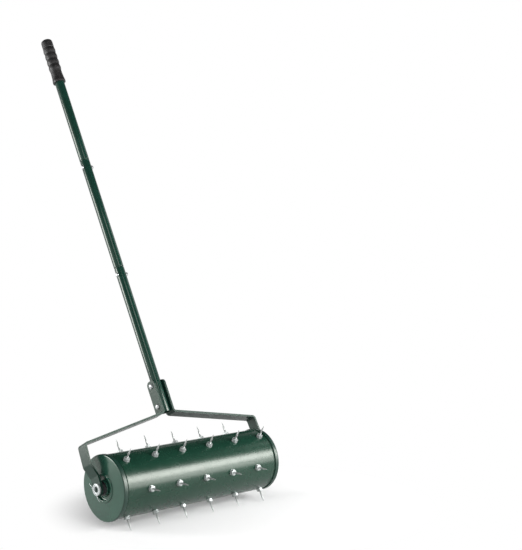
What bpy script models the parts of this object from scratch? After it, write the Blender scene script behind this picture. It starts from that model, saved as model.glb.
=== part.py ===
"""Rolling lawn aerator: a spiked steel drum in a flat-bar yoke, pushed by a long tube handle.

Metres, +Z up. X runs along the drum's axle and the handle leans back towards +Y.
The origin is on the ground, under the middle of the machine's footprint.
Pieces of the yoke and handle are modelled upright in the handle's own frame, where Z runs
from the axle up the handle, and an empty on the axle leans that frame back.
"""
import math

import bmesh
import bpy
from mathutils import Matrix, Vector

# Clearances
GAP = 0.0003                # left between two pieces that touch
RUNNING_GAP = 0.0004        # round the axle, where the drum turns on it
OVERCUT = 0.004             # how far a cutter reaches past what it cuts
MERGE = 1e-5                # points closer than this become one

# Drum
DRUM_LENGTH = 0.480         # over the flat faces of the two end caps
SHELL_RADIUS = 0.0742       # outside of the rolled sheet
SHELL_WALL = 0.0015
CAP_WALL = 0.0020
CAP_SKIRT = 0.011           # how far a cap's skirt reaches over the shell
CAP_CORNER = 0.0022         # outside rounding between a cap's face and its skirt
BOSS_RADIUS = 0.033         # raised round centre of a cap
BOSS_HEIGHT = 0.0028
BOSS_EDGE = 0.0015          # rounding of the boss's rim
DRUM_STEPS = 48             # facets round the drum

# Spikes, in rows along the drum
ROW_COUNT = 6               # long and short rows take turns
SPIKES_IN_LONG_ROW = 6
END_SPIKE_INSET = 0.0335    # from a cap's face to the last spike of a long row
ROW_SHIFT = 0.0025          # the rows sit a little right of the drum's middle
SPIKE_REACH = 0.0337        # from the shell to the tip
SPIKE_RADIUS = 0.0024
SPIKE_TAPER = 0.013         # length of the pointed end
TIP_RADIUS = 0.0004
NUT_ACROSS_FLATS = 0.013
NUT_HEIGHT = 0.0065
INNER_NUT_HEIGHT = 0.0035
SPIKE_SIDES = 6
HEX_SIDES = 6

# Axle and what it carries
AXLE_RADIUS = 0.0105
AXLE_BORE = 0.00675
BUSH_RADIUS = 0.0130        # neck of the bush, through the cap
BUSH_FLANGE_RADIUS = 0.0165
BUSH_FLANGE = 0.0016
BUSH_NECK_INSIDE = 0.0080   # how far the neck reaches into the drum
BUSH_BARREL = 0.0044        # how far the barrel stands out past its flange
BUSH_BARREL_RADIUS = 0.0140
THRUST_WASHER_RADIUS = 0.0150
THRUST_WASHER_THICKNESS = 0.0016
COLLAR_RADIUS = 0.0137
COLLAR_WIDTH = 0.0046
AXLE_STEPS = 24

# Pin across each collar
PIN_RADIUS = 0.0013
PIN_OFFSET = 0.0106         # from the axle's centre line to the pin's
PIN_HALF_LENGTH = 0.0255
PIN_ANGLE = math.radians(45)
PIN_BEND = math.radians(9)  # the upper leg is bent aside by this much

# Yoke: two flat bars bent to shape
BAR_WIDTH = 0.030
BAR_THICKNESS = 0.005
BAR_BEND = 0.004            # inside radius of each bend
BEND_STEPS = 3
YOKE_TOP = 0.236            # heights up the handle, from the axle
YOKE_FORK = 0.1510
YOKE_CORNER = 0.1060
YOKE_JOGGLE_TOP = 0.056
YOKE_JOGGLE_FOOT = 0.029
CORNER_REACH = 0.0225       # how far the arm's outer corner stands off the end cap
JOGGLE_REACH = 0.0250
TAB_CORNER = 0.011          # rounding of the two upper corners of each tab
TAB_CORNER_STEPS = 4
FOOT_STEPS = 14             # round the lower end of each arm
BOLT_HEIGHTS = (0.170, 0.223)
BOLT_RADIUS = 0.0040
BOLT_TAIL = 0.010           # what shows of the bolt past the right tab
BOLT_STEPS = 12

# Heads and nuts, as multiples of their bolt's radius
HEAD_RADII = 1.75
HEAD_HEIGHT_RADII = 1.1
NUT_FLATS_RADII = 3.25
NUT_HEIGHT_RADII = 1.6

# Handle
LEAN = math.radians(27.6)   # back from upright
TUBE_RADIUS = 0.0125
TUBE_WALL = 0.0012
TUBE_FOOT = 0.1535          # heights up the handle, from the axle
LOWER_JOINT = 0.541
UPPER_JOINT = 0.845
HANDLE_TOP = 1.205
SPIGOT_LENGTH = 0.045       # of each tube that slides down into the one below
SCREW_BELOW_JOINT = 0.020
JOINT_SCREW_RADIUS = 0.0030
JOINT_SCREW_TAIL = 0.0065   # what shows of the screw past the tube
TUBE_STEPS = 24

# Grip
GRIP_LENGTH = 0.129
GRIP_RADIUS = 0.0150        # of the plain part at the top
GRIP_PLAIN = 0.024          # from the rounded end to the first swell
GRIP_HOLLOW_RADIUS = 0.0146  # between the swells
GRIP_SWELL = 0.0012
GRIP_SWELLS = 4
SWELL_PITCH = 0.0175
SWELL_POINTS = 4            # in the outline, along each swell
GRIP_FOOT_RADIUS = 0.0166   # of the ring that the foot flares out to
GRIP_FOOT_RING = 0.006
GRIP_END_ROUNDING = 0.0075
GRIP_END_WALL = 0.004
GRIP_STEPS = 20

# What follows from the sizes above
TIP_CIRCLE = SHELL_RADIUS + SPIKE_REACH
HALF_ROW_ANGLE = math.pi / ROW_COUNT
AXLE_HEIGHT = TIP_CIRCLE * math.cos(HALF_ROW_ANGLE) + TIP_RADIUS * math.sin(HALF_ROW_ANGLE)
GRIP_BACK = ((HANDLE_TOP - GRIP_END_ROUNDING) * math.sin(LEAN)
             + (GRIP_RADIUS - GRIP_END_ROUNDING) * math.cos(LEAN) + GRIP_END_ROUNDING)
AXLE_CENTRE = Vector((0.0, (TIP_CIRCLE - GRIP_BACK) / 2, AXLE_HEIGHT))
HALF_DRUM = DRUM_LENGTH / 2
SPIKE_PITCH = (DRUM_LENGTH - 2 * END_SPIKE_INSET) / (SPIKES_IN_LONG_ROW - 1)
CAP_RADIUS = SHELL_RADIUS + GAP + CAP_WALL
FLANGE_START = BOSS_HEIGHT + GAP
BARREL_END = FLANGE_START + BUSH_FLANGE + BUSH_BARREL
THRUST_START = BARREL_END + GAP
ARM_INSIDE = THRUST_START + THRUST_WASHER_THICKNESS + GAP
COLLAR_START = ARM_INSIDE + BAR_THICKNESS + GAP
COLLAR_END = COLLAR_START + COLLAR_WIDTH
AXLE_HALF_LENGTH = HALF_DRUM + COLLAR_END
TAB_INSIDE = TUBE_RADIUS + GAP
TAB_OUTSIDE = TAB_INSIDE + BAR_THICKNESS

SIDES = {"left": -1, "right": 1}
COLOURS = {
    "enamel": ((0.012, 0.040, 0.027), 0.25, 0.0),
    "zinc": ((0.72, 0.73, 0.74), 0.28, 1.0),
    "nylon": ((0.030, 0.030, 0.032), 0.50, 0.0),
    "rubber": ((0.028, 0.028, 0.028), 0.60, 0.0),
}


def clear_scene():
    """Start from an empty scene with one collection for the pieces and one for the cutters."""
    for old in list(bpy.data.objects):
        bpy.data.objects.remove(old, do_unlink=True)
    for name in ("lawn_aerator", "cutters"):
        collection = bpy.data.collections.new(name)
        bpy.context.scene.collection.children.link(collection)


def finish_material(name, finish):
    """A Principled material of its own for one piece."""
    colour, roughness, metallic = COLOURS[finish]
    material = bpy.data.materials.new(name)
    material.use_nodes = True
    shader = material.node_tree.nodes["Principled BSDF"]
    shader.inputs["Base Color"].default_value = (*colour, 1.0)
    shader.inputs["Roughness"].default_value = roughness
    shader.inputs["Metallic"].default_value = metallic
    material.diffuse_color = (*colour, 1.0)
    return material


def add_piece(name, mesh, finish, parent):
    """Put a mesh in the scene as a named piece under its parent."""
    piece = bpy.data.objects.new(name, mesh)
    bpy.data.collections["lawn_aerator"].objects.link(piece)
    piece.parent = parent
    material = finish_material(name, finish)
    if not mesh.materials:
        mesh.materials.append(None)
    piece.material_slots[0].link = "OBJECT"
    piece.material_slots[0].material = material
    return piece


def add_empty(name, location, lean=0.0):
    """An empty that carries pieces, leaning back from upright by an angle."""
    empty = bpy.data.objects.new(name, None)
    bpy.data.collections["lawn_aerator"].objects.link(empty)
    empty.location = location
    empty.rotation_euler = (-lean, 0.0, 0.0)
    return empty


def shade(mesh, angle=35):
    """Smooth shading with the real edges kept sharp."""
    mesh.shade_smooth()
    mesh.set_sharp_from_angle(angle=math.radians(angle))


def turned(name, outline, finish, parent, steps):
    """Turn an outline of (radius, height) points round local Z, from its outer side down."""
    mesh = bpy.data.meshes.new(name)
    closed = outline[0][0] > 0 or outline[-1][0] > 0
    count = len(outline)
    edges = [(i, (i + 1) % count) for i in range(count if closed else count - 1)]
    mesh.from_pydata([(radius, 0.0, height) for radius, height in outline], edges, [])
    piece = add_piece(name, mesh, finish, parent)
    turn = piece.modifiers.new("Turn", "SCREW")
    turn.steps = turn.render_steps = steps
    turn.use_merge_vertices = True
    turn.merge_threshold = MERGE
    turn.use_smooth_shade = False
    return piece


def along_axle(piece, side):
    """Lay a turned piece along X with its local Z pointing outwards on one side."""
    piece.rotation_euler = (0.0, side * math.pi / 2, 0.0)


def apply_modifiers(piece):
    """Turn a piece's modifiers into plain mesh."""
    graph = bpy.context.evaluated_depsgraph_get()
    mesh = bpy.data.meshes.new_from_object(piece.evaluated_get(graph))
    piece.modifiers.clear()
    old = piece.data
    piece.data = mesh
    mesh.name = piece.name
    bpy.data.meshes.remove(old)
    shade(mesh)
    return mesh


def cylinder_mesh(bm, radius, start, end, sides, spin=0.0):
    """Add a closed cylinder to a mesh, from one end point to the other."""
    start, end = Vector(start), Vector(end)
    axis = end - start
    turn = axis.to_track_quat("Z", "Y").to_matrix().to_4x4()
    place = Matrix.Translation((start + end) / 2) @ turn @ Matrix.Rotation(spin, 4, "Z")
    bmesh.ops.create_cone(bm, cap_ends=True, segments=sides, radius1=radius, radius2=radius,
                          depth=axis.length, matrix=place)


def add_cutter(name, bm, parent):
    """Keep a mesh as a hidden cutter."""
    mesh = bpy.data.meshes.new(name)
    bm.to_mesh(mesh)
    bm.free()
    cutter = bpy.data.objects.new(name, mesh)
    bpy.data.collections["cutters"].objects.link(cutter)
    cutter.parent = parent
    cutter.hide_render = True
    cutter.display_type = "WIRE"
    return cutter


def boolean(piece, cutter, operation="DIFFERENCE"):
    """Cut, join or intersect a piece with a cutter."""
    step = piece.modifiers.new(operation.title(), "BOOLEAN")
    step.operation = operation
    step.object = cutter


def arc(centre, radius, start, end, steps):
    """Points on an arc, in degrees, both ends included."""
    points = []
    for i in range(steps + 1):
        angle = math.radians(start + (end - start) * i / steps)
        points.append((centre[0] + radius * math.cos(angle), centre[1] + radius * math.sin(angle)))
    return points


def spike_places():
    """Each spike's name and its place on the shell, with local Z pointing outwards."""
    places = []
    for row in range(ROW_COUNT):
        count = SPIKES_IN_LONG_ROW - (row + 1) % 2
        turn = Matrix.Rotation(math.pi / 2 - row * 2 * HALF_ROW_ANGLE, 4, "X")
        for index in range(count):
            x = ROW_SHIFT + (index - (count - 1) / 2) * SPIKE_PITCH
            place = turn @ Matrix.Translation((x, 0.0, SHELL_RADIUS))
            places.append((f"spike_row{row + 1}_{index + 1}", place))
    return places


def make_shell(axle):
    """The drum's rolled sheet, with a hole for each spike."""
    half = HALF_DRUM - CAP_WALL - GAP
    inner = SHELL_RADIUS - SHELL_WALL
    outline = [(SHELL_RADIUS, half), (SHELL_RADIUS, -half), (inner, -half), (inner, half)]
    shell = turned("drum_shell", outline, "enamel", axle, DRUM_STEPS)
    along_axle(shell, 1)
    bm = bmesh.new()
    hole = (SPIKE_RADIUS + GAP) / math.cos(math.pi / SPIKE_SIDES)
    for _, place in spike_places():
        start = place @ Vector((0, 0, -SHELL_WALL - OVERCUT))
        end = place @ Vector((0, 0, OVERCUT))
        cylinder_mesh(bm, hole, start, end, SPIKE_SIDES)
    boolean(shell, add_cutter("spike_holes", bm, axle))
    return shell


def make_spikes(axle):
    """Pointed studs, each held in the shell between an outer and an inner nut."""
    nut_corner = NUT_ACROSS_FLATS / 2 / math.cos(math.pi / HEX_SIDES)
    inner_face = SHELL_RADIUS - math.sqrt((SHELL_RADIUS - SHELL_WALL) ** 2 - nut_corner ** 2) + GAP
    outline = [
        (0.0, SPIKE_REACH),
        (TIP_RADIUS, SPIKE_REACH),
        (SPIKE_RADIUS, SPIKE_REACH - SPIKE_TAPER),
        (SPIKE_RADIUS, -inner_face - INNER_NUT_HEIGHT / 2),
        (0.0, -inner_face - INNER_NUT_HEIGHT / 2),
    ]
    pattern = turned("spike_pattern", outline, "zinc", None, SPIKE_SIDES)
    nuts = bmesh.new()
    cylinder_mesh(nuts, nut_corner, (0, 0, GAP), (0, 0, GAP + NUT_HEIGHT), HEX_SIDES)
    cylinder_mesh(nuts, nut_corner, (0, 0, -inner_face - INNER_NUT_HEIGHT), (0, 0, -inner_face),
                  HEX_SIDES)
    boolean(pattern, add_cutter("spike_nuts", nuts, None), "UNION")
    mesh = apply_modifiers(pattern)
    bpy.data.objects.remove(pattern, do_unlink=True)
    for name, place in spike_places():
        spike = add_piece(name, mesh, "zinc", axle)
        spike.matrix_local = place


def make_end_cap(name, side, axle):
    """A pressed cap with a raised centre, whose skirt slides over the shell's end."""
    inner = CAP_RADIUS - CAP_WALL
    hole = BUSH_RADIUS + GAP
    corner = arc((CAP_RADIUS - CAP_CORNER, -CAP_CORNER), CAP_CORNER, 90, 0, 2)
    boss = arc((BOSS_RADIUS - BOSS_EDGE, BOSS_HEIGHT - BOSS_EDGE), BOSS_EDGE, 90, 0, 1)
    outline = [(hole, BOSS_HEIGHT)] + boss + [(BOSS_RADIUS + BOSS_EDGE / 2, 0.0)] + corner + [
        (CAP_RADIUS, -CAP_SKIRT),
        (inner, -CAP_SKIRT),
        (inner, -CAP_WALL),
        (BOSS_RADIUS - CAP_WALL, -CAP_WALL),
        (BOSS_RADIUS - CAP_WALL, BOSS_HEIGHT - CAP_WALL),
        (hole, BOSS_HEIGHT - CAP_WALL),
    ]
    cap = turned(name, outline, "enamel", axle, DRUM_STEPS)
    along_axle(cap, side)
    cap.location = (side * HALF_DRUM, 0.0, 0.0)
    return cap


def make_bush(name, side, axle):
    """The flanged bush that the cap turns on."""
    bore = AXLE_RADIUS + RUNNING_GAP
    flange_top = FLANGE_START + BUSH_FLANGE
    outline = [
        (bore, BARREL_END),
        (BUSH_BARREL_RADIUS, BARREL_END),
        (BUSH_BARREL_RADIUS, flange_top),
        (BUSH_FLANGE_RADIUS, flange_top),
        (BUSH_FLANGE_RADIUS, FLANGE_START),
        (BUSH_RADIUS, FLANGE_START),
        (BUSH_RADIUS, -BUSH_NECK_INSIDE),
        (bore, -BUSH_NECK_INSIDE),
    ]
    bush = turned(name, outline, "nylon", axle, AXLE_STEPS)
    along_axle(bush, side)
    bush.location = (side * HALF_DRUM, 0.0, 0.0)
    return bush


def make_ring(name, side, axle, radius, start, width, finish):
    """A plain ring on the axle, measured outwards from the cap's face."""
    bore = AXLE_RADIUS + GAP
    outline = [(radius, start + width), (radius, start), (bore, start), (bore, start + width)]
    ring = turned(name, outline, finish, axle, AXLE_STEPS)
    along_axle(ring, side)
    ring.location = (side * HALF_DRUM, 0.0, 0.0)
    return ring


def make_axle(axle):
    """The thick-walled tube that the drum turns on."""
    half = AXLE_HALF_LENGTH
    outline = [(AXLE_RADIUS, half), (AXLE_RADIUS, -half), (AXLE_BORE, -half), (AXLE_BORE, half)]
    tube = turned("axle", outline, "zinc", axle, AXLE_STEPS)
    along_axle(tube, 1)
    return tube


def pin_points(side):
    """The pin's line across the collar: a straight lower leg and an upper leg bent aside."""
    x = side * (HALF_DRUM + COLLAR_START + COLLAR_WIDTH / 2)
    along = Vector((0.0, math.cos(PIN_ANGLE), math.sin(PIN_ANGLE)))
    aside = Vector((0.0, math.sin(PIN_ANGLE), -math.cos(PIN_ANGLE)))
    middle = Vector((x, 0.0, 0.0)) + aside * PIN_OFFSET
    knee = middle + along * COLLAR_RADIUS
    upper = along * math.cos(PIN_BEND) + aside * math.sin(PIN_BEND)
    return middle - along * PIN_HALF_LENGTH, knee, knee + upper * (PIN_HALF_LENGTH - COLLAR_RADIUS)


def make_pin(name, side, axle):
    """A thin pin driven across the collar, where it also locks in a notch of the axle."""
    curve = bpy.data.curves.new(name, "CURVE")
    curve.dimensions = "3D"
    curve.bevel_depth = PIN_RADIUS
    curve.bevel_resolution = 2
    curve.use_fill_caps = True
    points = pin_points(side)
    spline = curve.splines.new("POLY")
    spline.points.add(len(points) - 1)
    for point, place in zip(spline.points, points):
        point.co = (*place, 1.0)
    wire = bpy.data.objects.new(name + "_wire", curve)
    bpy.data.collections["lawn_aerator"].objects.link(wire)
    graph = bpy.context.evaluated_depsgraph_get()
    mesh = bpy.data.meshes.new_from_object(wire.evaluated_get(graph))
    bpy.data.objects.remove(wire, do_unlink=True)
    bpy.data.curves.remove(curve)
    bm = bmesh.new()
    bm.from_mesh(mesh)
    bmesh.ops.remove_doubles(bm, verts=bm.verts, dist=MERGE)
    bm.to_mesh(mesh)
    bm.free()
    mesh.name = name
    shade(mesh)
    mesh.materials.clear()
    return add_piece(name, mesh, "zinc", axle)


def drill_pin_holes(side, axle, pieces):
    """One hole across the collar and the edge of the axle for the pin."""
    foot, knee, _ = pin_points(side)
    past = (knee - foot).normalized() * OVERCUT
    bm = bmesh.new()
    cylinder_mesh(bm, PIN_RADIUS + GAP, foot - past, knee + past, BOLT_STEPS)
    cutter = add_cutter(f"pin_hole_{side}", bm, axle)
    for piece in pieces:
        boolean(piece, cutter)


def bent_bar_outline(path):
    """Both faces of a bar bent along a path, with the bends as arcs, as one closed outline."""
    left, right = [], []
    half = BAR_THICKNESS / 2
    for i, point in enumerate(path):
        here = Vector(point)
        before = (here - Vector(path[i - 1])).normalized() if i else None
        after = (Vector(path[i + 1]) - here).normalized() if i + 1 < len(path) else None
        if before is None or after is None:
            along = after if before is None else before
            aside = Vector((-along.y, along.x))
            left.append(here + aside * half)
            right.append(here - aside * half)
            continue
        turn = before.x * after.y - before.y * after.x
        angle = before.angle(after)
        radius = BAR_BEND + half
        hand = 1 if turn > 0 else -1
        start = here - before * radius * math.tan(angle / 2)
        centre = start + Vector((-before.y, before.x)) * radius * hand
        for step in range(BEND_STEPS + 1):
            spoke = (start - centre).normalized()
            spoke.rotate(Matrix.Rotation(hand * angle * step / BEND_STEPS, 2))
            left.append(centre + spoke * (radius - hand * half))
            right.append(centre + spoke * (radius + hand * half))
    return left + right[::-1]


def make_arm(name, side, lean):
    """One half of the yoke: a tab up the tube, an arm out, and a joggled leg to the axle."""
    tab = TAB_INSIDE + BAR_THICKNESS / 2
    leg = HALF_DRUM + ARM_INSIDE + BAR_THICKNESS / 2
    foot = -BAR_WIDTH
    path = [
        (tab, YOKE_TOP + BAR_WIDTH),
        (tab, YOKE_FORK),
        (HALF_DRUM + CORNER_REACH, YOKE_CORNER),
        (HALF_DRUM + JOGGLE_REACH, YOKE_JOGGLE_TOP),
        (leg, YOKE_JOGGLE_FOOT),
        (leg, foot),
    ]
    outline = bent_bar_outline([(side * x, height) for x, height in path])
    arm = add_prism(name, outline, BAR_WIDTH, "enamel", lean)
    arm.rotation_euler = (math.pi / 2, 0.0, 0.0)

    reach = HALF_DRUM + JOGGLE_REACH + BAR_WIDTH
    half = BAR_WIDTH / 2
    corner = half - TAB_CORNER
    front = arc((0.0, 0.0), half, 180, 360, FOOT_STEPS)
    front += arc((corner, YOKE_TOP - TAB_CORNER), TAB_CORNER, 0, 90, TAB_CORNER_STEPS)
    front += arc((-corner, YOKE_TOP - TAB_CORNER), TAB_CORNER, 90, 180, TAB_CORNER_STEPS)
    bm = bmesh.new()
    face = bm.faces.new([bm.verts.new((0.0, y, z)) for y, z in front])
    sweep = bmesh.ops.extrude_face_region(bm, geom=[face])
    moved = [item for item in sweep["geom"] if isinstance(item, bmesh.types.BMVert)]
    bmesh.ops.translate(bm, verts=moved, vec=(side * reach, 0.0, 0.0))
    bmesh.ops.recalc_face_normals(bm, faces=bm.faces)
    boolean(arm, add_cutter(name + "_silhouette", bm, lean), "INTERSECT")

    holes = bmesh.new()
    cut = BAR_THICKNESS / 2 + OVERCUT
    for height in BOLT_HEIGHTS:
        cylinder_mesh(holes, BOLT_RADIUS + GAP, (side * (tab - cut), 0, height),
                      (side * (tab + cut), 0, height), BOLT_STEPS)
    cylinder_mesh(holes, AXLE_RADIUS + GAP, (side * (leg - cut), 0, 0),
                  (side * (leg + cut), 0, 0), AXLE_STEPS)
    boolean(arm, add_cutter(name + "_holes", holes, lean))
    return arm


def add_prism(name, outline, width, finish, parent):
    """A flat outline in local XY, given a width that is centred on its plane."""
    curve = bpy.data.curves.new(name, "CURVE")
    curve.dimensions = "2D"
    curve.fill_mode = "BOTH"
    curve.extrude = width / 2
    spline = curve.splines.new("POLY")
    spline.points.add(len(outline) - 1)
    spline.use_cyclic_u = True
    for point, place in zip(spline.points, outline):
        point.co = (place[0], place[1], 0.0, 1.0)
    sheet = bpy.data.objects.new(name + "_outline", curve)
    bpy.data.collections["lawn_aerator"].objects.link(sheet)
    graph = bpy.context.evaluated_depsgraph_get()
    mesh = bpy.data.meshes.new_from_object(sheet.evaluated_get(graph))
    bpy.data.objects.remove(sheet, do_unlink=True)
    bpy.data.curves.remove(curve)
    bm = bmesh.new()
    bm.from_mesh(mesh)
    bmesh.ops.remove_doubles(bm, verts=bm.verts, dist=MERGE)
    bmesh.ops.recalc_face_normals(bm, faces=bm.faces)
    bm.to_mesh(mesh)
    bm.free()
    mesh.name = name
    mesh.materials.clear()
    return add_piece(name, mesh, finish, parent)


def make_tube(name, foot, top, spigot, lean):
    """One section of the handle; a spigot at its foot slides into the tube below."""
    outer, inner = TUBE_RADIUS, TUBE_RADIUS - TUBE_WALL
    edge = TUBE_WALL / 3
    if not spigot:
        outline = [(inner, top), (outer - edge, top), (outer, top - edge), (outer, foot + edge),
                   (outer - edge, foot), (inner, foot)]
        return turned(name, outline, "enamel", lean, TUBE_STEPS)
    swaged = inner - GAP
    neck = 2 * TUBE_WALL
    outline = [
        (inner, top),
        (outer - edge, top),
        (outer, top - edge),
        (outer, foot + edge),
        (outer - edge, foot),
        (swaged, foot),
        (swaged, foot - spigot),
        (swaged - TUBE_WALL, foot - spigot),
        (swaged - TUBE_WALL, foot + neck),
        (inner, foot + 2 * neck),
    ]
    return turned(name, outline, "enamel", lean, TUBE_STEPS)


def make_grip(lean):
    """The moulded sleeve over the handle's end: plain at the closed top, then swelling, then
    flaring out to a ring at its foot."""
    foot = HANDLE_TOP - GRIP_LENGTH
    bore = TUBE_RADIUS + GAP
    swell_top = HANDLE_TOP - GRIP_PLAIN
    outline = [(0.0, HANDLE_TOP)]
    outline += arc((GRIP_RADIUS - GRIP_END_ROUNDING, HANDLE_TOP - GRIP_END_ROUNDING),
                   GRIP_END_ROUNDING, 90, 0, 4)
    outline.append((GRIP_RADIUS, swell_top + GRIP_SWELL))
    for i in range(GRIP_SWELLS * SWELL_POINTS + 1):
        swell = GRIP_SWELL * (1 - math.cos(2 * math.pi * i / SWELL_POINTS)) / 2
        height = swell_top - SWELL_PITCH * i / SWELL_POINTS
        outline.append((GRIP_HOLLOW_RADIUS + swell, height))
    outline += [
        (GRIP_FOOT_RADIUS, foot + GRIP_FOOT_RING),
        (GRIP_FOOT_RADIUS, foot),
        (bore, foot),
        (bore, HANDLE_TOP - GRIP_END_WALL),
        (0.0, HANDLE_TOP - GRIP_END_WALL),
    ]
    return turned("grip", outline, "rubber", lean, GRIP_STEPS)


def make_bolt(name, height, radius, reach, tail, lean):
    """A round-headed bolt along X, its head against the left side of what it clamps."""
    head_radius = radius * HEAD_RADII
    head_height = radius * HEAD_HEIGHT_RADII
    seat = reach + GAP
    dome = [(0.0, seat + head_height)]
    dome += [(head_radius * math.sin(math.radians(angle)),
              seat + head_height * math.cos(math.radians(angle))) for angle in (30, 60, 80)]
    outline = dome + [
        (head_radius, seat),
        (radius, seat),
        (radius, -reach - tail),
        (0.0, -reach - tail),
    ]
    bolt = turned(name, outline, "zinc", lean, BOLT_STEPS)
    along_axle(bolt, -1)
    bolt.location = (0.0, 0.0, height)
    return bolt


def make_nut(name, height, radius, reach, lean):
    """A hexagon nut on the bolt's right-hand end."""
    across = radius * NUT_FLATS_RADII
    foot = reach + GAP
    top = foot + radius * NUT_HEIGHT_RADII
    bm = bmesh.new()
    cylinder_mesh(bm, across / 2 / math.cos(math.pi / HEX_SIDES), (foot, 0, 0), (top, 0, 0),
                  HEX_SIDES)
    mesh = bpy.data.meshes.new(name)
    bm.to_mesh(mesh)
    bm.free()
    nut = add_piece(name, mesh, "zinc", lean)
    nut.location = (0.0, 0.0, height)
    bore = bmesh.new()
    cylinder_mesh(bore, radius + GAP, (foot - OVERCUT, 0, height), (top + OVERCUT, 0, height),
                  BOLT_STEPS)
    boolean(nut, add_cutter(name + "_bore", bore, lean))
    return nut


def drill_across(name, height, radius, pieces, lean):
    """A round hole along X through tubes that a bolt or screw crosses."""
    bm = bmesh.new()
    half = TUBE_RADIUS + OVERCUT
    cylinder_mesh(bm, radius + GAP, (-half, 0, height), (half, 0, height), BOLT_STEPS)
    cutter = add_cutter(name + "_hole", bm, lean)
    for piece in pieces:
        boolean(piece, cutter)


def make_handle(lean):
    """Three tubes, the grip, and the bolts and screws that hold them."""
    lower = make_tube("handle_lower", TUBE_FOOT, LOWER_JOINT - GAP, 0.0, lean)
    middle = make_tube("handle_middle", LOWER_JOINT, UPPER_JOINT - GAP, SPIGOT_LENGTH, lean)
    upper = make_tube("handle_upper", UPPER_JOINT, HANDLE_TOP - GRIP_END_WALL - GAP,
                      SPIGOT_LENGTH, lean)
    make_grip(lean)
    for name, height in zip(("lower", "upper"), BOLT_HEIGHTS):
        drill_across(f"yoke_bolt_{name}", height, BOLT_RADIUS, [lower], lean)
        make_bolt(f"yoke_bolt_{name}", height, BOLT_RADIUS, TAB_OUTSIDE, BOLT_TAIL, lean)
        make_nut(f"yoke_nut_{name}", height, BOLT_RADIUS, TAB_OUTSIDE, lean)
    joints = (("lower", LOWER_JOINT, [lower, middle]), ("upper", UPPER_JOINT, [middle, upper]))
    for name, joint, tubes in joints:
        height = joint - SCREW_BELOW_JOINT
        drill_across(f"joint_screw_{name}", height, JOINT_SCREW_RADIUS, tubes, lean)
        make_bolt(f"joint_screw_{name}", height, JOINT_SCREW_RADIUS, TUBE_RADIUS,
                  JOINT_SCREW_TAIL, lean)
        make_nut(f"joint_nut_{name}", height, JOINT_SCREW_RADIUS, TUBE_RADIUS, lean)


def main():
    clear_scene()
    axle = add_empty("axle_centre", AXLE_CENTRE)
    lean = add_empty("handle_frame", AXLE_CENTRE, LEAN)
    make_shell(axle)
    make_spikes(axle)
    tube = make_axle(axle)
    for word, side in SIDES.items():
        make_end_cap(f"end_cap_{word}", side, axle)
        make_bush(f"drum_bush_{word}", side, axle)
        make_ring(f"thrust_washer_{word}", side, axle, THRUST_WASHER_RADIUS, THRUST_START,
                  THRUST_WASHER_THICKNESS, "nylon")
        collar = make_ring(f"axle_collar_{word}", side, axle, COLLAR_RADIUS, COLLAR_START,
                           COLLAR_WIDTH, "zinc")
        drill_pin_holes(side, axle, [collar, tube])
        make_pin(f"collar_pin_{word}", side, axle)
        make_arm(f"yoke_arm_{word}", side, lean)
    make_handle(lean)
    bpy.context.view_layer.update()


main()
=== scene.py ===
"""The looks of a rolling lawn aerator: a green enamelled drum with zinc-plated spikes, a bent
flat-bar yoke, a three-section tube handle and a black moulded grip.

Metres, +Z up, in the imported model's own frame. Turned pieces are drawn as an outline of
(radius, height) and turned round their own Z, then laid in one of two frames: the drum's,
whose Z runs along the axle, or the handle's, whose Z runs from the axle up the leaning handle.
"""
import math
import random

import bmesh
import bpy
from mathutils import Matrix, Vector


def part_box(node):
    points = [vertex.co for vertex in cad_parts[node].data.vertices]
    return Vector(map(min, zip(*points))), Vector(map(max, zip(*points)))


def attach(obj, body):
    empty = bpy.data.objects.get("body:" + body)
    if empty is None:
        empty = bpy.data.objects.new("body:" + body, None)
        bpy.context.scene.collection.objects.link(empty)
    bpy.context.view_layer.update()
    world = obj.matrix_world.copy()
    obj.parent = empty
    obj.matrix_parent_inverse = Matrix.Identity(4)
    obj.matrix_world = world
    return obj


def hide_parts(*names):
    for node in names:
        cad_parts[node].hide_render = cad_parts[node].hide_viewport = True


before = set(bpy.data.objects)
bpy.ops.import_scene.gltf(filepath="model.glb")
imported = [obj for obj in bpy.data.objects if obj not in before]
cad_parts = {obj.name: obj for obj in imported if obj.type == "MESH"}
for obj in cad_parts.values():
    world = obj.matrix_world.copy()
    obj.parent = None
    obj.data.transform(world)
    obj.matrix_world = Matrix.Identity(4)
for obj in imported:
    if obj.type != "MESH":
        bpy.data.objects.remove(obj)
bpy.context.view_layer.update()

GAP = 0.0003                # between two pieces that touch

# Drum, with heights along the axle measured outwards from the cap's flat face
SHELL_RADIUS = 0.0742
SHELL_WALL = 0.0015
CAP_RADIUS = 0.0765
CAP_WALL = 0.0020
CAP_SKIRT = 0.011           # length of the skirt from the cap's face
CAP_BORE = 0.0133
BOSS_RADIUS = 0.033
BOSS_HEIGHT = 0.0028
WELL_FLOOR = -0.0045        # sunk round the bush
WELL_START, WELL_END = 0.0190, 0.0270   # radii of its floor
WELL_BACK = 0.0285          # radius of its wall, seen from inside the drum
SKIRT_EDGE = 0.0009         # how far inside the cap's radius its face turns into the skirt
GROOVE_DEPTH = 0.0014       # rolled into the shell beside each cap
GROOVE_HALF = 0.0015        # half its width
GROOVE_OFF_CAP = 0.0022     # from the skirt's end to its middle
SEAM_LAP = 0.008
SEAM_RISE = 0.0009
SEAM_OFF_GROOVE = 0.004     # how far the seam stops short of each groove

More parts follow.
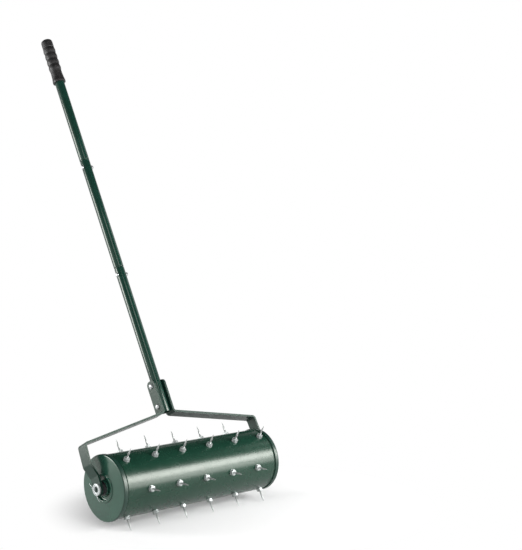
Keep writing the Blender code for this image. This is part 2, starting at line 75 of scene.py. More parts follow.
# Bush, thrust washer, leg and collar, one after another along the axle, with the same heights
BUSH_BORE = 0.0109
BUSH_NECK = 0.0130          # radius inside the cap's bore
BUSH_FLANGE = 0.0165
BUSH_BARREL = 0.0140        # radius outside the flange
BUSH_FOOT = -0.008
FLANGE_START, FLANGE_END = 0.0031, 0.0047
BARREL_END = 0.0091
THRUST_RADIUS = 0.0150
THRUST_BORE = 0.0108
THRUST_START, THRUST_END = 0.0094, 0.0110
LEG_START = 0.0113          # the yoke leg's inner face
COLLAR_RADIUS = 0.0137
COLLAR_BORE = 0.01065
COLLAR_START, COLLAR_END = 0.0166, 0.0212
AXLE_RADIUS = 0.0105
AXLE_BORE = 0.00675

# Pin across each collar
PIN_RADIUS = 0.0010
PIN_END_RADIUS = 0.0006
PIN_HALF = 0.0255           # from its middle to its lower end
PIN_OFFSET = 0.0106         # of its middle from the axle's centre line
PIN_KNEE = 0.0137           # from its middle to where its upper leg turns aside
PIN_LEG = 0.0118            # from the knee to its upper end
PIN_BEND = math.radians(9)
BEND_STEP = 0.001

# Spikes, with heights from the shell
ROWS = 6
LONG_ROW = 6                # spikes in a long row; a short one has one fewer
SPIKE_PITCH = 0.0826
ROW_SHIFT = 0.0025          # of every row to the right of the drum's middle
SPIKE_REACH = 0.0337
SPIKE_RADIUS = 0.0021
SPIKE_TIP = 0.0012          # length of the blunt point
SPIKE_TIP_RADIUS = 0.0006
SPIKE_TAPER = 0.0118        # length that narrows towards it
SPIKE_THREAD_TOP, SPIKE_THREAD_FOOT = 0.0124, 0.0060
SPIKE_THREAD_PITCH, SPIKE_THREAD_DEPTH = 0.0008, 0.0004
SPIKE_NUT = 0.013           # across its flats
SPIKE_NUT_FOOT, SPIKE_NUT_TOP = 0.0015, 0.0068
SPIKE_WASHER = 0.0074       # radius
SPIKE_WASHER_FOOT, SPIKE_WASHER_TOP = -0.0004, 0.0014

# Yoke, with heights up the handle from the axle and reaches out from the cap's face
BAR_HALF_WIDTH = 0.015
BAR_HALF_THICKNESS = 0.0025
BAR_BEND = 0.0065           # radius of the middle line in each bend
BAR_EDGE = 0.0019           # rounding of the rolled edges
YOKE_TOP = 0.236
YOKE_FORK = 0.1510          # where each bar leaves the tube
YOKE_CORNER, CORNER_REACH = 0.1060, 0.0225
JOGGLE_TOP, JOGGLE_REACH = 0.056, 0.0250
JOGGLE_FOOT = 0.029
TAB_CORNER = 0.011          # rounding of the tab's two upper corners
END_SPACING = 0.0015        # of the points along the bar near its ends

# Handle and fasteners
TUBE_RADIUS = 0.0125
TUBE_WALL = 0.0012
TUBE_FOOT = 0.1535
JOINT_GAP = 0.0023          # between two tubes' ends, where the upper one narrows
LOWER_JOINT, UPPER_JOINT, HANDLE_TOP = 0.541, 0.845, 1.205
SPIGOT = 0.045              # length inside the tube below
SWAGE_START, SWAGE_END = 0.0024, 0.0048     # above each joint, where the bore widens again
TAB_OUTSIDE = 0.0178        # from the tube's middle to the tab's outer face
BOLT_HEIGHTS = {"lower": 0.170, "upper": 0.223}
BOLT_RADIUS, BOLT_TAIL = 0.0040, 0.010
SCREW_BELOW_JOINT = 0.020
SCREW_RADIUS, SCREW_TAIL = 0.0030, 0.0065

# Grip
GRIP_LENGTH = 0.129
GRIP_END = 0.004            # wall at its closed end
GRIP_BORE = 0.0129
BORE_DEPTH = 0.004          # the bore is drawn this deep, round the tube; nothing shows above
GRIP_ROUNDING = 0.0075
GRIP_WAIST = 0.0145
SWELL_START = 0.024         # from the closed end to the first swell
SWELL_PITCH = 0.0175
SWELL_RISE = 0.0014
SWELLS = 4
FLARE_RISE = 0.0018
FLARE_END = 0.0075          # above the grip's foot, where the ring begins
RING_RADIUS = 0.0168

# Places taken from the frame, and the lean that the part's source has
AXLE = sum(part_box("axle"), Vector()) / 2
LEAN = math.radians(27.6)
HALF_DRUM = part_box("end_cap_right")[1].x - BOSS_HEIGHT
HANDLE = Matrix.Translation(AXLE) @ Matrix.Rotation(-LEAN, 4, "X")
ALONG_AXLE = Matrix.Translation(AXLE) @ Matrix.Rotation(math.pi / 2, 4, "Y")
SIDES = {"left": -1, "right": 1}

SHARP_EDGE = math.radians(38)   # faces that meet at more than this keep a crisp edge
ON_AXIS = 1e-6              # a smaller radius counts as a point on the axis
chance = random.Random(7)


# ---------------------------------------------------------------- camera

def place_camera():
    """The photographed view: from the drum's left end, a little above it, with a long lens."""
    camera = bpy.data.objects.new("camera", bpy.data.cameras.new("camera"))
    bpy.context.scene.collection.objects.link(camera)
    camera.location = AXLE + Vector((-1.95874, -2.29590, 0.64421))
    aim = Vector((0.69239, 0.71924, -0.05738))
    camera.rotation_euler = aim.to_track_quat("-Z", "Y").to_euler()
    camera.data.sensor_width = 36.0
    camera.data.lens = 83.78
    bpy.context.scene.camera = camera


# ---------------------------------------------------------------- materials

def colour(hex_code):
    """An sRGB hex value as linear colour."""
    channels = []
    for i in (1, 3, 5):
        value = int(hex_code[i:i + 2], 16) / 255
        channels.append(value / 12.92 if value <= 0.04045 else ((value + 0.055) / 1.055) ** 2.4)
    return (*channels, 1.0)


def add_node(tree, kind, settings, inputs):
    """Add a node with its settings; each input takes a value or another node's output."""
    node = tree.nodes.new(kind)
    for name, value in settings.items():
        setattr(node, name, value)
    for socket, value in inputs.items():
        if isinstance(value, bpy.types.NodeSocket):
            tree.links.new(value, node.inputs[socket])
        else:
            node.inputs[socket].default_value = value
    return node


def start_material(name):
    """An empty node material, its tree, and where on the piece each point lies, in metres."""
    material = bpy.data.materials.new(name)
    material.use_nodes = True
    tree = material.node_tree
    tree.nodes.clear()
    place = add_node(tree, "ShaderNodeTexCoord", {}, {}).outputs["Object"]
    return material, tree, place


def finish_material(material, tree, shader):
    """Send the shader to the surface."""
    add_node(tree, "ShaderNodeOutputMaterial", {}, {"Surface": shader.outputs[0]})
    return material


def make_enamel(name, deepest, palest, smoothest, roughest, ior=1.45):
    """Dark green polyester powder coat, baked on steel.

    The eye sees a deep green with broad soft-edged streaks of light, broken a little by the
    faint orange peel that the powder leaves as it flows out."""
    material, tree, place = start_material(name)
    # The coat pools and thins over some 60 mm, which shifts the green by a shade.
    pooling = add_node(tree, "ShaderNodeTexNoise", {}, {
        "Vector": place, "Scale": 1 / 0.060, "Detail": 3.0})
    green = add_node(tree, "ShaderNodeValToRGB", {}, {"Fac": pooling.outputs["Fac"]})
    deep, pale = green.color_ramp.elements
    deep.position, deep.color = 0.35, colour(deepest)
    pale.position, pale.color = 0.70, colour(palest)
    # Handling leaves patches some 25 mm across that are a little duller than the rest.
    handling = add_node(tree, "ShaderNodeTexNoise", {}, {
        "Vector": place, "Scale": 1 / 0.025, "Detail": 2.0})
    gloss = add_node(tree, "ShaderNodeMapRange", {}, {
        "Value": handling.outputs["Fac"], "From Min": 0.35, "From Max": 0.75,
        "To Min": smoothest, "To Max": roughest})
    # Orange peel on a powder coat has a wave of 2 to 4 mm and is a few microns deep.
    peel = add_node(tree, "ShaderNodeTexNoise", {}, {
        "Vector": place, "Scale": 1 / 0.003, "Detail": 1.0})
    relief = add_node(tree, "ShaderNodeBump", {}, {
        "Height": peel.outputs["Fac"], "Strength": 0.03, "Distance": 0.0001})
    # The resin is faintly yellow, which warms the streaks of light by a shade.
    shader = add_node(tree, "ShaderNodeBsdfPrincipled", {}, {
        "Base Color": green.outputs["Color"], "Roughness": gloss.outputs["Result"], "IOR": ior,
        "Specular Tint": colour("#FCFFF6"), "Normal": relief.outputs["Normal"]})
    return finish_material(material, tree, shader)


def make_zinc(name, dullest, brightest, smoothest, roughest, metallic):
    """Zinc electroplate on turned and cold-headed steel.

    The eye sees a light grey metal with soft reflections and cloudy patches. The clear
    passivation film scatters part of the light, so the metal is set under full."""
    material, tree, place = start_material(name)
    # Plating clouds are some 4 mm across.
    clouds = add_node(tree, "ShaderNodeTexNoise", {}, {
        "Vector": place, "Scale": 1 / 0.004, "Detail": 5.0})
    metal = add_node(tree, "ShaderNodeValToRGB", {}, {"Fac": clouds.outputs["Fac"]})
    dull, bright = metal.color_ramp.elements
    dull.position, dull.color = 0.30, colour(dullest)
    bright.position, bright.color = 0.70, colour(brightest)
    gloss = add_node(tree, "ShaderNodeMapRange", {}, {
        "Value": clouds.outputs["Fac"], "From Min": 0.3, "From Max": 0.7,
        "To Min": roughest, "To Max": smoothest})
    # Drawing and rolling marks are near 0.3 mm, drawn at 0.6 mm so that they show.
    marks = add_node(tree, "ShaderNodeTexNoise", {}, {
        "Vector": place, "Scale": 1 / 0.0006, "Detail": 2.0})
    relief = add_node(tree, "ShaderNodeBump", {}, {
        "Height": marks.outputs["Fac"], "Strength": 0.12, "Distance": 0.0001})
    shader = add_node(tree, "ShaderNodeBsdfPrincipled", {}, {
        "Base Color": metal.outputs["Color"], "Metallic": metallic,
        "Roughness": gloss.outputs["Result"], "Normal": relief.outputs["Normal"]})
    return finish_material(material, tree, shader)


def make_rubber():
    """Black PVC, dip-moulded over the tube's end.

    The eye sees a soft grey sheen on a near-black skin with a fine pebble grain."""
    material, tree, place = start_material("black_moulded_pvc")
    # Bloom on the skin comes in patches near 12 mm.
    bloom = add_node(tree, "ShaderNodeTexNoise", {}, {
        "Vector": place, "Scale": 1 / 0.012, "Detail": 4.0})
    black = add_node(tree, "ShaderNodeValToRGB", {}, {"Fac": bloom.outputs["Fac"]})
    clear, bloomed = black.color_ramp.elements
    clear.position, clear.color = 0.35, colour("#0E0E0E")
    bloomed.position, bloomed.color = 0.70, colour("#191818")
    # The mould's grain is near 0.5 mm, drawn at 1.2 mm so that it shows.
    grain = add_node(tree, "ShaderNodeTexVoronoi", {"feature": "SMOOTH_F1"}, {
        "Vector": place, "Scale": 1 / 0.0012})
    relief = add_node(tree, "ShaderNodeBump", {}, {
        "Height": grain.outputs["Distance"], "Strength": 0.5, "Distance": 0.0003})
    gloss = add_node(tree, "ShaderNodeMapRange", {}, {
        "Value": bloom.outputs["Fac"], "From Min": 0.3, "From Max": 0.7,
        "To Min": 0.42, "To Max": 0.58})
    shader = add_node(tree, "ShaderNodeBsdfPrincipled", {}, {
        "Base Color": black.outputs["Color"], "Roughness": gloss.outputs["Result"],
        "IOR": 1.53, "Normal": relief.outputs["Normal"]})
    return finish_material(material, tree, shader)


def make_nylon():
    """Black nylon 6, injection moulded.

    The eye sees a near-black piece with a waxy, even sheen."""
    material, tree, place = start_material("black_nylon")
    # The moulded skin is mottled at about 1 mm.
    mottle = add_node(tree, "ShaderNodeTexNoise", {}, {
        "Vector": place, "Scale": 1 / 0.001, "Detail": 2.0})
    shade = add_node(tree, "ShaderNodeValToRGB", {}, {"Fac": mottle.outputs["Fac"]})
    dark, light = shade.color_ramp.elements
    dark.color, light.color = colour("#141415"), colour("#1E1E20")
    gloss = add_node(tree, "ShaderNodeMapRange", {}, {
        "Value": mottle.outputs["Fac"], "From Min": 0.3, "From Max": 0.7,
        "To Min": 0.38, "To Max": 0.50})
    shader = add_node(tree, "ShaderNodeBsdfPrincipled", {}, {
        "Base Color": shade.outputs["Color"], "Roughness": gloss.outputs["Result"],
        "IOR": 1.53})
    return finish_material(material, tree, shader)


# ---------------------------------------------------------------- studio

PAPER_CENTRE = (0.14, -0.26, -0.0003)
PAPER_HALF_WIDTH = 30.0
FADE_START, FADE_END = 0.33, 0.48   # from the paper's centre; past the second it is plain white

# Each lamp's place and aim from the axle, width, height and power in watts
SOFTBOXES = {
    "long_softbox": ((1.587, -1.72, 0.87), (1.587, 0, 0), 2.2, 0.74, 100),
    "long_softbox_skirt": ((1.587, -1.90, 0.20), (1.587, 0, 0), 2.2, 0.56, 27),
    "tall_softbox": ((-1.95, 1.69, 0.60), (0, 0, 0.4), 1.1, 1.3, 54),
    "front_card": ((-0.46, -1.05, 1.48), (0, 0.22, 0.43), 0.5, 1.0, 5),
    "side_card": ((3.86, -0.74, 2.6), (0, 0.30, 0.6), 1.0, 1.15, 8),
}


def seen_directly(tree):
    """1 for rays from the camera or from a glossy or clear surface, which see the paper white."""
    rays = add_node(tree, "ShaderNodeLightPath", {}, {})
    seen = add_node(tree, "ShaderNodeMath", {"operation": "MAXIMUM"}, {
        0: rays.outputs["Is Camera Ray"], 1: rays.outputs["Is Glossy Ray"]})
    return add_node(tree, "ShaderNodeMath", {"operation": "MAXIMUM"}, {
        0: seen.outputs[0], 1: rays.outputs["Is Transmission Ray"]}).outputs[0]


def lay_paper():
    """White background paper, which keeps the shadow under the drum and is plain white round it."""
    material, tree, place = start_material("white_paper")
    seen = seen_directly(tree)
    matt = add_node(tree, "ShaderNodeBsdfDiffuse", {}, {"Color": colour("#DCDCDC")})
    lift = add_node(tree, "ShaderNodeMath", {"operation": "MULTIPLY"}, {0: seen, 1: 0.04})
    glow = add_node(tree, "ShaderNodeEmission", {}, {"Strength": lift.outputs[0]})
    near = add_node(tree, "ShaderNodeAddShader", {}, {0: matt.outputs[0], 1: glow.outputs[0]})
    white = add_node(tree, "ShaderNodeEmission", {}, {"Strength": 1.0})
    far = add_node(tree, "ShaderNodeMixShader", {}, {
        0: seen, 1: matt.outputs[0], 2: white.outputs[0]})
    distance = add_node(tree, "ShaderNodeVectorMath", {"operation": "LENGTH"}, {0: place})
    fade = add_node(tree, "ShaderNodeMapRange", {"interpolation_type": "SMOOTHSTEP"}, {
        "Value": distance.outputs["Value"], "From Min": FADE_START, "From Max": FADE_END})
    shader = add_node(tree, "ShaderNodeMixShader", {}, {
        0: fade.outputs["Result"], 1: near.outputs[0], 2: far.outputs[0]})
    finish_material(material, tree, shader)
    bm = bmesh.new()
    bmesh.ops.create_grid(bm, x_segments=1, y_segments=1, size=PAPER_HALF_WIDTH)
    mesh = bpy.data.meshes.new("paper")
    bm.to_mesh(mesh)
    bm.free()
    mesh.materials.append(material)
    paper = bpy.data.objects.new("paper", mesh)
    bpy.context.scene.collection.objects.link(paper)
    paper.location = PAPER_CENTRE


def light_room():
    """A white room up to head height with a dark ceiling, and soft fill from the front left."""
    world = bpy.data.worlds.new("studio")
    bpy.context.scene.world = world
    world.use_nodes = True
    tree = world.node_tree
    tree.nodes.clear()
    seen = seen_directly(tree)
    direction = add_node(tree, "ShaderNodeTexCoord", {}, {}).outputs["Generated"]
    height = add_node(tree, "ShaderNodeSeparateXYZ", {}, {0: direction}).outputs["Z"]
    wall = add_node(tree, "ShaderNodeValToRGB", {}, {"Fac": height})
    lit, ceiling = wall.color_ramp.elements
    lit.position, lit.color = 0.22, (1.0, 1.0, 1.0, 1.0)
    ceiling.position, ceiling.color = 0.55, (0.03, 0.03, 0.03, 1.0)
    room = add_node(tree, "ShaderNodeBackground", {}, {
        "Color": wall.outputs["Color"], "Strength": 1.0})
    leftness = add_node(tree, "ShaderNodeVectorMath", {"operation": "DOT_PRODUCT"}, {
        0: direction, 1: (-0.84, -0.44, -0.3)})
    softness = add_node(tree, "ShaderNodeMapRange", {}, {
        "Value": leftness.outputs["Value"], "From Min": -0.3, "From Max": 1.0,
        "To Min": 0.1, "To Max": 2.1})
    fill = add_node(tree, "ShaderNodeBackground", {}, {
        "Color": colour("#FFFFFF"), "Strength": softness.outputs["Result"]})
    mixed = add_node(tree, "ShaderNodeMixShader", {}, {
        0: seen, 1: fill.outputs[0], 2: room.outputs[0]})
    add_node(tree, "ShaderNodeOutputWorld", {}, {"Surface": mixed.outputs[0]})


def hang_softbox(name, place, aim, width, height, power):
    """A softbox: a rectangular lamp that faces a point, its width level."""
    lamp = bpy.data.lights.new(name, "AREA")
    lamp.shape = "RECTANGLE"
    lamp.size, lamp.size_y = width, height
    lamp.energy = power
    box = bpy.data.objects.new(name, lamp)
    bpy.context.scene.collection.objects.link(box)
    box.location = place
    box.rotation_euler = (aim - place).to_track_quat("-Z", "Y").to_euler()


def light_scene():
    """A long softbox at the front right with a dim skirt below it, a tall one at the back left,
    and two faint cards whose light runs down the handle's tubes."""
    light_room()
    for name, (place, aim, width, height, power) in SOFTBOXES.items():
        hang_softbox(name, AXLE + Vector(place), AXLE + Vector(aim), width, height, power)


# ---------------------------------------------------------------- shapes

def finish_mesh(name, bm, place=None):
    """The worked mesh, laid in its frame, smooth but for its sharp edges."""
    bmesh.ops.recalc_face_normals(bm, faces=bm.faces)
    if place is not None:
        bm.transform(place)
    mesh = bpy.data.meshes.new(name)
    bm.to_mesh(mesh)
    bm.free()
    mesh.shade_smooth()
    mesh.set_sharp_from_angle(angle=SHARP_EDGE)
    return mesh


def show(name, mesh, body, stands_for, place=None):
    """Show a mesh as a piece that rides on a body and stands for nodes of the frame."""
    piece = bpy.data.objects.new(name, mesh)
    bpy.context.scene.collection.objects.link(piece)
    if place is not None:
        piece.matrix_world = place
    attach(piece, body)
    if stands_for:
        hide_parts(*stands_for)
    return piece


def keep(name, bm, material, body, stands_for, place=None):
    """Turn a worked mesh into a finished piece on its body."""
    mesh = finish_mesh(name, bm, place)
    mesh.materials.append(material)
    return show(name, mesh, body, stands_for)


def rounded(corners, steps=5):
    """An outline of (radius, height, rounding) corners, each rounded by an arc."""
    points = []
    for i, (x, y, rounding) in enumerate(corners):
        here = Vector((x, y))
        if not rounding:
            points.append(here)
            continue
        before = (Vector(corners[i - 1][:2]) - here).normalized()
        after = (Vector(corners[(i + 1) % len(corners)][:2]) - here).normalized()
        half = before.angle(after) / 2
        centre = here + (before + after).normalized() * rounding / math.sin(half)
        reach = rounding / math.tan(half)
        first = here + before * reach - centre
        last = here + after * reach - centre
        start = math.atan2(first.y, first.x)
        sweep = (math.atan2(last.y, last.x) - start + math.pi) % (2 * math.pi) - math.pi
        for step in range(steps + 1):
            angle = start + sweep * step / steps
            points.append(centre + Vector((math.cos(angle), math.sin(angle))) * rounding)
    return points


def bridge(bm, rings):
    """Faces from each ring of points to the next, with three corners where a ring is one point."""
    for here, there in zip(rings, rings[1:]):
        for k in range(len(here)):
            following = (k + 1) % len(here)
            corners = dict.fromkeys((here[k], here[following], there[following], there[k]))
            if len(corners) > 2:
                bm.faces.new(corners)


def turn(bm, outline, steps):
    """Turn an outline round Z: from the axis back to it, or as a closed loop clear of it."""
    rings = []
    for radius, height in outline:
        if radius < ON_AXIS:
            rings.append([bm.verts.new((0.0, 0.0, height))] * steps)
        else:
            rings.append([bm.verts.new((radius * math.cos(2 * math.pi * k / steps),
                                        radius * math.sin(2 * math.pi * k / steps), height))
                          for k in range(steps)])
    if outline[0][0] > ON_AXIS:
        rings.append(rings[0])
    bridge(bm, rings)


def turned(name, outline, steps, place, material, body, stands_for):
    """A piece that is one outline turned round."""
    bm = bmesh.new()
    turn(bm, outline, steps)
    return keep(name, bm, material, body, stands_for, place)


def on_axle(side):
    """The drum's frame on one side: Z along the axle, outwards from the cap's face."""
    end = AXLE + Vector((side * HALF_DRUM, 0, 0))
    return Matrix.Translation(end) @ Matrix.Rotation(side * math.pi / 2, 4, "Y")


def across_handle(height, side=1):
    """The handle's frame turned so that Z runs out to one side, at a height up the handle."""
    return (HANDLE @ Matrix.Translation((0, 0, height))
            @ Matrix.Rotation(side * math.pi / 2, 4, "Y"))


def hexagon(bm, across, foot, top, bore):
    """A hexagon nut, its corners chamfered to a 30 degree cone at both ends."""
    half = across / 2
    land = half * 0.94          # radius of the flat ring that the chamfer leaves
    steps = 36
    angles = [2 * math.pi * k / steps for k in range(steps)]
    sides = [half / math.cos((angle + math.pi / 6) % (math.pi / 3) - math.pi / 6)
             for angle in angles]
    drops = [(side - land) * math.tan(math.radians(30)) for side in sides]
    outlines = (
        [(bore, top)] * steps,
        [(land, top)] * steps,
        [(side, top - drop) for side, drop in zip(sides, drops)],
        [(side, foot + drop) for side, drop in zip(sides, drops)],
        [(land, foot)] * steps,
        [(bore, foot)] * steps,
    )
    rings = [[bm.verts.new((radius * math.cos(angle), radius * math.sin(angle), height))
              for angle, (radius, height) in zip(angles, outline)] for outline in outlines]
    bridge(bm, rings + rings[:1])


def thread(radius, pitch, depth, start, end):
    """The outline of a thread, drawn as rings, from one height to another."""
    points = []
    turns = max(1, round(abs(end - start) / pitch))
    step = (end - start) / turns
    for i in range(turns):
        points += [(radius - depth, start + step * i), (radius, start + step * (i + 0.5))]
    return points + [(radius - depth, end)]


# ---------------------------------------------------------------- drum

def make_shell(enamel):
    """The rolled shell, with a groove beside each cap and its lap seam."""
    half = HALF_DRUM - CAP_WALL - GAP
    groove = HALF_DRUM - CAP_SKIRT - GROOVE_OFF_CAP
    outline = [(SHELL_RADIUS, half, 0), (SHELL_RADIUS, groove + GROOVE_HALF, 0.0005),
               (SHELL_RADIUS - GROOVE_DEPTH, groove, 0.0004),
               (SHELL_RADIUS, groove - GROOVE_HALF, 0.0006)]
    outline += [(radius, -height, rounding) for radius, height, rounding in reversed(outline)]
    outline += [(SHELL_RADIUS - SHELL_WALL, -half, 0), (SHELL_RADIUS - SHELL_WALL, half, 0)]
    bm = bmesh.new()
    turn(bm, rounded(outline), 192)
    add_seam(bm, groove - SEAM_OFF_GROOVE)
    keep("rolled_shell", bm, enamel, "drum", ("drum_shell",), ALONG_AXLE)


def add_seam(bm, half):
    """The shell's lap seam: one edge of the sheet laid over the other, between two rows."""
    width = SEAM_LAP / SHELL_RADIUS
    lifts = [0.0] + [SEAM_RISE] * 6 + [SEAM_RISE * 0.8, 0.0]
    steps = len(lifts) - 1
    top, foot = [], []
    for k, lift in enumerate(lifts):
        angle = math.pi + width * (k / steps - 0.5)
        outside = SHELL_RADIUS + lift
        for row, end in ((top, half), (foot, -half)):
            row.append(bm.verts.new((outside * math.cos(angle), outside * math.sin(angle), end)))
    for k in range(steps):
        bm.faces.new((top[k], top[k + 1], foot[k + 1], foot[k]))


def make_caps(lit_face_enamel, skirt_enamel):
    """The two pressed caps: a skirt over the shell, a raised boss and a sunk bearing well."""
    inner = CAP_RADIUS - CAP_WALL
    outline = rounded([
        (CAP_BORE, BOSS_HEIGHT, 0),
        (WELL_START - 0.0010, BOSS_HEIGHT, 0.0007),
        (WELL_START, WELL_FLOOR, 0.0010),
        (WELL_END, WELL_FLOOR, 0.0010),
        (WELL_END + 0.0012, BOSS_HEIGHT, 0.0010),
        (BOSS_RADIUS, BOSS_HEIGHT, 0.0012),
        (BOSS_RADIUS + 0.0004, 0.0, 0.0006),
        (CAP_RADIUS, 0.0, 0.0024),
        (CAP_RADIUS, -CAP_SKIRT, 0.0004),
        (inner, -CAP_SKIRT, 0.0004),
        (inner, -CAP_WALL, 0.0008),
        (WELL_BACK + 0.0005, -CAP_WALL, 0.0006),
        (WELL_BACK, WELL_FLOOR - CAP_WALL, 0.0008),
        (CAP_BORE, WELL_FLOOR - CAP_WALL, 0),
    ])
    for word, side in SIDES.items():
        cap = turned(f"pressed_cap_{word}", outline, 160, on_axle(side), lit_face_enamel, "drum",
                     (f"end_cap_{word}",))
        # The powder runs thick on the flat face and stays thin and dull round the skirt. The flat
        # face's green is paler than the skirt's and the shell's: painted light for the brightness
        # that the end face catches.
        cap.data.materials.append(skirt_enamel)
        for face in cap.data.polygons:
            if (face.center - AXLE).yz.length > CAP_RADIUS - SKIRT_EDGE:
                face.material_index = 1


def spike_places():
    """Each spike's node and its place on the shell, Z outwards, as the part's source has them."""
    places = []
    for row in range(ROWS):
        count = LONG_ROW - (row + 1) % 2
        spin = Matrix.Rotation(math.pi / 2 - row * math.pi / 3, 4, "X")
        for index in range(count):
            x = ROW_SHIFT + (index - (count - 1) / 2) * SPIKE_PITCH
            place = Matrix.Translation(AXLE) @ spin @ Matrix.Translation((x, 0.0, SHELL_RADIUS))
            places.append((f"spike_row{row + 1}_{index + 1}", place))
    return places


def make_spikes(zinc, stud_zinc):
    """Pointed studs, each through a washer and a chamfered nut on the shell."""
    bm = bmesh.new()
    bore = SPIKE_RADIUS + 0.0002
    washer = [(bore, SPIKE_WASHER_TOP, 0), (SPIKE_WASHER, SPIKE_WASHER_TOP, 0.0003),
              (SPIKE_WASHER, SPIKE_WASHER_FOOT, 0.0003), (bore, SPIKE_WASHER_FOOT, 0)]
    turn(bm, rounded(washer, 2), 40)
    hexagon(bm, SPIKE_NUT, SPIKE_NUT_FOOT, SPIKE_NUT_TOP, bore)
    shoulder = SPIKE_REACH - SPIKE_TIP
    stud = [(0.0, SPIKE_REACH), (0.00035, SPIKE_REACH - 0.0002), (SPIKE_TIP_RADIUS, shoulder)]
    for share in (0.25, 0.5, 0.75, 1.0):
        swell = (SPIKE_RADIUS - SPIKE_TIP_RADIUS) * (1 - (1 - share) ** 1.3)
        stud.append((SPIKE_TIP_RADIUS + swell, shoulder - SPIKE_TAPER * share))
    stud.append((SPIKE_RADIUS, SPIKE_THREAD_TOP + 0.0004))
    stud += thread(SPIKE_RADIUS + 0.0001, SPIKE_THREAD_PITCH, SPIKE_THREAD_DEPTH,
                   SPIKE_THREAD_TOP, SPIKE_THREAD_FOOT)
    stud.append((0.0, SPIKE_THREAD_FOOT - 0.0005))
    turn(bm, stud, 16)
    mesh = finish_mesh("spike", bm)
    # The plating is thinner and greyer on the ground stud than on the bought nut and washer.
    mesh.materials.append(zinc)
    mesh.materials.append(stud_zinc)
    for face in mesh.polygons:
        if face.center.xy.length < SPIKE_RADIUS and face.center.z > SPIKE_NUT_TOP + GAP:
            face.material_index = 1
    for name, place in spike_places():
        tightened = place @ Matrix.Rotation(chance.uniform(0, math.pi / 3), 4, "Z")
        show(name.replace("spike_", "stud_"), mesh, "drum", (name,), tightened)


def make_bushes(nylon):
    """The nylon bush and thrust washer at each end."""
    bush = rounded([
        (BUSH_BORE, BARREL_END, 0.0003),
        (BUSH_BARREL, BARREL_END, 0.0005),
        (BUSH_BARREL, FLANGE_END, 0.0004),
        (BUSH_FLANGE, FLANGE_END, 0.0005),
        (BUSH_FLANGE, FLANGE_START, 0.0003),
        (BUSH_NECK, FLANGE_START, 0),
        (BUSH_NECK, BUSH_FOOT, 0.0004),
        (BUSH_BORE, BUSH_FOOT, 0.0003),
    ], 3)
    washer = rounded([
        (THRUST_BORE, THRUST_END, 0.0003),
        (THRUST_RADIUS, THRUST_END, 0.0004),
        (THRUST_RADIUS, THRUST_START, 0.0004),
        (THRUST_BORE, THRUST_START, 0.0003),
    ], 3)
    for word, side in SIDES.items():
        turned(f"flanged_bush_{word}", bush, 64, on_axle(side), nylon, "drum",
               (f"drum_bush_{word}",))
        turned(f"slide_washer_{word}", washer, 64, on_axle(side), nylon, "frame",
               (f"thrust_washer_{word}",))


# ---------------------------------------------------------------- axle

def make_axle(zinc):
    """The axle tube, the collar on each end and the pin that crosses it."""
    half = HALF_DRUM + COLLAR_END
    tube = rounded([
        (AXLE_RADIUS, half, 0.0005),
        (AXLE_RADIUS, -half, 0.0005),
        (AXLE_BORE, -half, 0.0007),
        (AXLE_BORE, half, 0.0007),
    ], 4)
    turned("axle_tube", tube, 64, ALONG_AXLE, zinc, "frame", ("axle",))
    collar = rounded([
        (COLLAR_BORE, COLLAR_END, 0.0002),
        (COLLAR_RADIUS, COLLAR_END, 0.0009),
        (COLLAR_RADIUS, COLLAR_START, 0.0005),
        (COLLAR_BORE, COLLAR_START, 0),
    ], 4)
    for word, side in SIDES.items():
        turned(f"stop_collar_{word}", collar, 64, on_axle(side), zinc, "frame",
               (f"axle_collar_{word}",))
        make_pin(word, side, zinc)


def make_pin(word, side, zinc):
    """A thin wire pin across the collar, its upper leg bent aside."""
    outwards = Vector((1, 0, 0))
    along = Vector((0, 1, 1)).normalized()
    aside = Vector((0, 1, -1)).normalized()
    reach = side * (HALF_DRUM + (COLLAR_START + COLLAR_END) / 2)
    middle = AXLE + outwards * reach + aside * PIN_OFFSET
    knee = middle + along * PIN_KNEE
    upper = along * math.cos(PIN_BEND) + aside * math.sin(PIN_BEND)
    route = [middle - along * PIN_HALF, middle - along * (PIN_HALF - 0.0005),
             knee - along * 3 * BEND_STEP]
    for k in range(1, 6):
        lean = PIN_BEND * k / 6
        route.append(route[-1] + (along * math.cos(lean) + aside * math.sin(lean)) * BEND_STEP)
    route += [knee + upper * (PIN_LEG - 0.0004), knee + upper * PIN_LEG]
    bm = bmesh.new()
    rings = []
    steps = 12
    for i, point in enumerate(route):
        ahead = (route[min(i + 1, len(route) - 1)] - route[max(i - 1, 0)]).normalized()
        across = ahead.cross(outwards).normalized()
        radius = PIN_END_RADIUS if i in (0, len(route) - 1) else PIN_RADIUS
        ring = []
        for k in range(steps):
            angle = 2 * math.pi * k / steps
            spoke = across * math.cos(angle) + outwards * math.sin(angle)
            ring.append(bm.verts.new(point + spoke * radius))
        rings.append(ring)
    bridge(bm, rings)
    bm.faces.new(rings[0])
    bm.faces.new(rings[-1])
    keep(f"wire_pin_{word}", bm, zinc, "frame", (f"collar_pin_{word}",))


# ---------------------------------------------------------------- yoke

def bent_path(side):
    """The bar's middle line in the handle's frame, with each bend as an arc, from tab to foot."""
    tab = TUBE_RADIUS + GAP + BAR_HALF_THICKNESS
    leg = HALF_DRUM + LEG_START + BAR_HALF_THICKNESS
    corners = [
        (tab, YOKE_TOP),
        (tab, YOKE_FORK),
        (HALF_DRUM + CORNER_REACH, YOKE_CORNER),
        (HALF_DRUM + JOGGLE_REACH, JOGGLE_TOP),
        (leg, JOGGLE_FOOT),
        (leg, -BAR_HALF_WIDTH),
    ]
    path = [Vector(corners[0])]
    for before, here, after in zip(corners, corners[1:], corners[2:]):
        path += rounded([(*before, 0), (*here, BAR_BEND), (*after, 0)], 8)[1:-1]
    path.append(Vector(corners[-1]))
    return [Vector((side * point.x, point.y)) for point in path]


